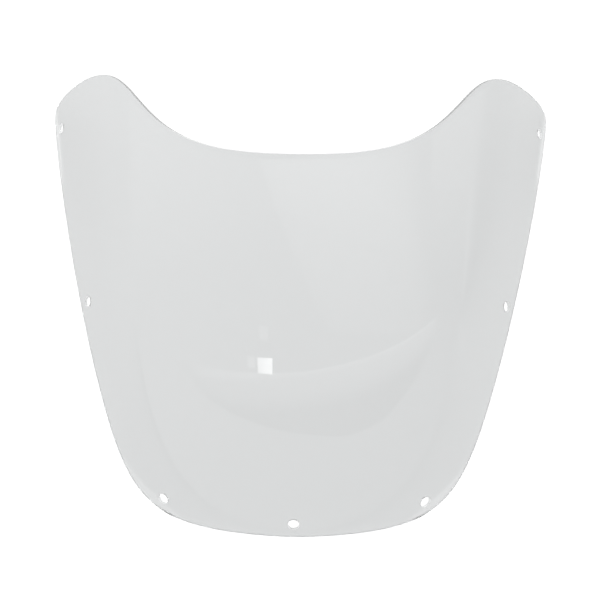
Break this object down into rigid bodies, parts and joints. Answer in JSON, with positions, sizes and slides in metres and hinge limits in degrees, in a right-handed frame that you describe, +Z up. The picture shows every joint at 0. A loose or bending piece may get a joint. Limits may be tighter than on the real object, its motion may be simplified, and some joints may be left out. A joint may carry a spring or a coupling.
{
  "type": "windshield screen",
  "caption": "Clear motorcycle windscreen: one double-curved formed sheet with two ears, a scalloped lipped free edge and plain fixing holes along its sides and nose.",
  "frame": {"origin": "on the surface it lies on, under the middle of its outline's box", "axes": "+Z up with the convex face up, +Y towards the two ears and the free edge, -Y towards the nose, +X across"},
  "size_m": [0.423, 0.3772, 0.1479],
  "materials": {
    "clear_acrylic": "polished, see-through, colourless"
  },
  "bodies": {
    "root": {"windscreen_panel": "clear_acrylic"}
  },
  "joints": []
}
